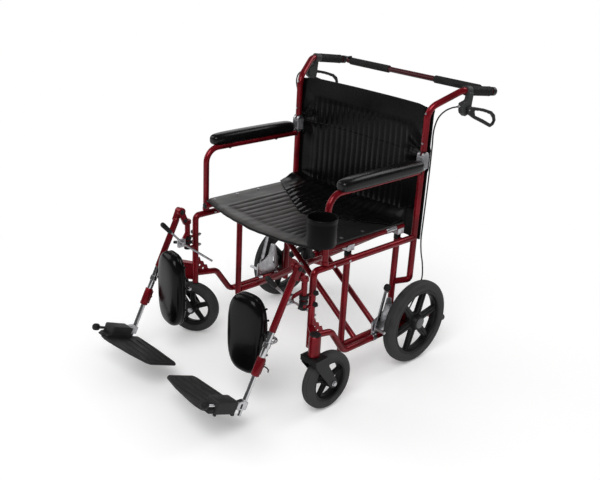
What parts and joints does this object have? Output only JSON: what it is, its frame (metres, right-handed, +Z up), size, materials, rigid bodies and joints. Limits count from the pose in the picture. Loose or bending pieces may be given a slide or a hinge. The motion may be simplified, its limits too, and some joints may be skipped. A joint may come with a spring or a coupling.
{
  "type": "folding transport wheelchair",
  "caption": "Wide folding transport chair with sling seat, drop-back handles, swing-away elevating leg rests, brakes and a cup holder.",
  "frame": {"origin": "on the floor, under the middle of the chair's box", "axes": "+Z up; the sitter faces -Y; +X is the sitter's left"},
  "size_m": [0.803, 1.1996, 0.9773],
  "materials": {
    "frame_red": "gloss metallic",
    "black_vinyl": "semi-gloss vinyl",
    "moulded_pad": "satin skin",
    "black_plastic": "matte",
    "wheel_plastic": "moulded",
    "foot_plastic": "moulded",
    "black_steel": "satin",
    "grey_tyre": "matte rubber",
    "grip_rubber": "matte rubber",
    "bar_foam": "soft foam",
    "silver_fittings": "satin",
    "chromed_steel": "polished"
  },
  "bodies": {
    "frame_left": {"side_frame_left": "frame_red", "arm_tube_left": "frame_red", "arm_pad_left": "moulded_pad", "back_hinge_left": "silver_fittings", "wheel_lock_body_left": "silver_fittings", "brake_cable_left": "black_plastic", "back_lower": "black_vinyl", "cup_holder": "black_plastic"},
    "brace_a": {"cross_brace_left": "frame_red", "brace_pivot_bolt": "silver_fittings", "seat_sling": "black_vinyl"},
    "brace_b": {"cross_brace_right": "frame_red"},
    "frame_right": {"side_frame_right": "frame_red", "arm_tube_right": "frame_red", "arm_pad_right": "moulded_pad", "back_hinge_right": "silver_fittings", "wheel_lock_body_right": "silver_fittings", "brake_cable_right": "black_plastic"},
    "cane_left": {"push_cane_left": "frame_red", "hand_grip_left": "grip_rubber", "lever_housing_left": "black_plastic", "back_upper": "black_vinyl"},
    "cane_right": {"push_cane_right": "frame_red", "hand_grip_right": "grip_rubber", "lever_housing_right": "black_plastic"},
    "stabiliser": {"stabiliser_bar": "frame_red", "bar_foam_left": "bar_foam", "bar_foam_right": "bar_foam"},
    "lever_left": {"brake_lever_left": "black_plastic"},
    "lock_left": {"wheel_lock_lever_left": "silver_fittings"},
    "fork_left": {"caster_fork_left": "black_steel"},
    "caster_left": {"caster_rim_left": "wheel_plastic", "caster_tyre_left": "grey_tyre"},
    "wheel_left": {"rear_rim_left": "wheel_plastic", "rear_tyre_left": "grey_tyre"},
    "hanger_left": {"leg_hanger_left": "frame_red"},
    "latch_left": {"swing_latch_left": "black_plastic"},
    "release_left": {"release_lever_left": "black_steel"},
    "leg_left": {"leg_tube_left": "frame_red", "leg_inner_tube_left": "black_steel", "leg_clamp_sleeve_left": "frame_red"},
    "calf_left": {"calf_pad_left": "moulded_pad"},
    "foot_tube_left": {"foot_extension_left": "chromed_steel"},
    "foot_left": {"footplate_left": "foot_plastic"},
    "lever_right": {"brake_lever_right": "black_plastic"},
    "lock_right": {"wheel_lock_lever_right": "silver_fittings"},
    "fork_right": {"caster_fork_right": "black_steel"},
    "caster_right": {"caster_rim_right": "wheel_plastic", "caster_tyre_right": "grey_tyre"},
    "wheel_right": {"rear_rim_right": "wheel_plastic", "rear_tyre_right": "grey_tyre"},
    "hanger_right": {"leg_hanger_right": "frame_red"},
    "latch_right": {"swing_latch_right": "black_plastic"},
    "release_right": {"release_lever_right": "black_steel"},
    "leg_right": {"leg_tube_right": "frame_red", "leg_inner_tube_right": "black_steel", "leg_clamp_sleeve_right": "frame_red"},
    "calf_right": {"calf_pad_right": "moulded_pad"},
    "foot_tube_right": {"foot_extension_right": "chromed_steel"},
    "foot_right": {"footplate_right": "foot_plastic"}
  },
  "joints": [
    {"name": "fold", "type": "hinge", "parent": "frame_left", "child": "brace_a", "pos_m": [0.272, 0.1295, 0.126], "axis": [0, 1, 0], "range_deg": [0, 41], "deforming": ["seat_sling", "back_lower", "back_upper"]},
    {"name": "brace_cross", "type": "hinge", "parent": "brace_a", "child": "brace_b", "pos_m": [0, 0.138, 0.313], "axis": [0, 1, 0], "range_deg": [-82, 0]},
    {"name": "right_frame_pivot", "type": "hinge", "parent": "brace_b", "child": "frame_right", "pos_m": [-0.272, 0.1295, 0.126], "axis": [0, 1, 0], "range_deg": [0, 41]},
    {"name": "back_drop_left", "type": "hinge", "parent": "frame_left", "child": "cane_left", "pos_m": [0.301, 0.308, 0.748], "axis": [-1, 0, 0], "range_deg": [0, 90]},
    {"name": "back_drop_right", "type": "hinge", "parent": "frame_right", "child": "cane_right", "pos_m": [-0.301, 0.308, 0.748], "axis": [-1, 0, 0], "range_deg": [0, 90]},
    {"name": "bar_swing", "type": "hinge", "parent": "cane_left", "child": "stabiliser", "pos_m": [0.322, 0.586, 0.9422], "axis": [0, 1, 0], "range_deg": [0, 88]},
    {"name": "brake_squeeze_left", "type": "hinge", "parent": "cane_left", "child": "lever_left", "pos_m": [0.375, 0.426, 0.902], "axis": [1, 0, 0], "range_deg": [0, 12], "stiffness_Nm_per_rad": 2},
    {"name": "wheel_lock_left", "type": "hinge", "parent": "frame_left", "child": "lock_left", "pos_m": [0.301, 0.148, 0.172], "axis": [1, 0, 0], "range_deg": [0, 56]},
    {"name": "caster_swivel_left", "type": "hinge", "parent": "frame_left", "child": "fork_left", "pos_m": [0.362, -0.212, 0.23], "axis": [0, 0, 1], "continuous": true},
    {"name": "caster_spin_left", "type": "hinge", "parent": "fork_left", "child": "caster_left", "pos_m": [0.36087, -0.14701, 0.098], "axis": [0.9998, 0.0175, 0], "continuous": true},
    {"name": "rear_spin_left", "type": "hinge", "parent": "frame_left", "child": "wheel_left", "pos_m": [0.3435, 0.308, 0.1525], "axis": [1, 0, 0], "continuous": true},
    {"name": "leg_swing_left", "type": "hinge", "parent": "frame_left", "child": "hanger_left", "pos_m": [0.3, -0.209, 0.4], "axis": [0, 0, 1], "range_deg": [0, 85]},
    {"name": "latch_left", "type": "hinge", "parent": "hanger_left", "child": "latch_left", "pos_m": [0.3, -0.209, 0.3665], "axis": [0, 0, 1], "range_deg": [0, 25]},
    {"name": "release_left", "type": "hinge", "parent": "hanger_left", "child": "release_left", "pos_m": [0.27, -0.25, 0.38], "axis": [1, 0, 0], "range_deg": [0, 8]},
    {"name": "leg_raise_left", "type": "hinge", "parent": "hanger_left", "child": "leg_left", "pos_m": [0.3, -0.2425, 0.49], "axis": [-1, 0, 0], "range_deg": [0, 60]},
    {"name": "calf_tilt_left", "type": "hinge", "parent": "leg_left", "child": "calf_left", "pos_m": [0.2, -0.307, 0.266], "axis": [1, 0, 0], "range_deg": [-12, 20]},
    {"name": "leg_length_left", "type": "slide", "parent": "leg_left", "child": "foot_tube_left", "axis": [0, 0.4446, 0.8957], "range_m": [-0.045, 0]},
    {"name": "foot_flip_left", "type": "hinge", "parent": "foot_tube_left", "child": "foot_left", "pos_m": [0.3, -0.444, 0.0925], "axis": [0, 0.9272, -0.3746], "range_deg": [0, 44]},
    {"name": "brake_squeeze_right", "type": "hinge", "parent": "cane_right", "child": "lever_right", "pos_m": [-0.375, 0.426, 0.902], "axis": [1, 0, 0], "range_deg": [0, 12], "stiffness_Nm_per_rad": 2},
    {"name": "wheel_lock_right", "type": "hinge", "parent": "frame_right", "child": "lock_right", "pos_m": [-0.301, 0.148, 0.172], "axis": [1, 0, 0], "range_deg": [0, 56]},
    {"name": "caster_swivel_right", "type": "hinge", "parent": "frame_right", "child": "fork_right", "pos_m": [-0.362, -0.212, 0.23], "axis": [0, 0, 1], "continuous": true},
    {"name": "caster_spin_right", "type": "hinge", "parent": "fork_right", "child": "caster_right", "pos_m": [-0.30749, -0.1766, 0.098], "axis": [0.5446, -0.8387, 0], "continuous": true},
    {"name": "rear_spin_right", "type": "hinge", "parent": "frame_right", "child": "wheel_right", "pos_m": [-0.3435, 0.308, 0.1525], "axis": [1, 0, 0], "continuous": true},
    {"name": "leg_swing_right", "type": "hinge", "parent": "frame_right", "child": "hanger_right", "pos_m": [-0.3, -0.209, 0.4], "axis": [0, 0, -1], "range_deg": [0, 85]},
    {"name": "latch_right", "type": "hinge", "parent": "hanger_right", "child": "latch_right", "pos_m": [-0.3, -0.209, 0.3665], "axis": [0, 0, -1], "range_deg": [0, 25]},
    {"name": "release_right", "type": "hinge", "parent": "hanger_right", "child": "release_right", "pos_m": [-0.27, -0.25, 0.38], "axis": [1, 0, 0], "range_deg": [0, 8]},
    {"name": "leg_raise_right", "type": "hinge", "parent": "hanger_right", "child": "leg_right", "pos_m": [-0.3, -0.2425, 0.49], "axis": [-1, 0, 0], "range_deg": [0, 60]},
    {"name": "calf_tilt_right", "type": "hinge", "parent": "leg_right", "child": "calf_right", "pos_m": [-0.2, -0.307, 0.266], "axis": [1, 0, 0], "range_deg": [-12, 20]},
    {"name": "leg_length_right", "type": "slide", "parent": "leg_right", "child": "foot_tube_right", "axis": [0, 0.4446, 0.8957], "range_m": [-0.045, 0]},
    {"name": "foot_flip_right", "type": "hinge", "parent": "foot_tube_right", "child": "foot_right", "pos_m": [-0.3, -0.444, 0.0925], "axis": [0, -0.9272, 0.3746], "range_deg": [0, 44]}
  ],
  "couplings": [
    {"joint": "brace_cross", "follows": "fold", "ratio": -2},
    {"joint": "right_frame_pivot", "follows": "fold", "ratio": 1},
    {"joint": "bar_swing", "follows": "fold", "ratio": 2.146},
    {"joint": "back_drop_right", "follows": "back_drop_left", "ratio": 1},
    {"joint": "leg_swing_left", "follows": "fold", "ratio": 2.073},
    {"joint": "leg_swing_right", "follows": "fold", "ratio": 2.073}
  ]
}
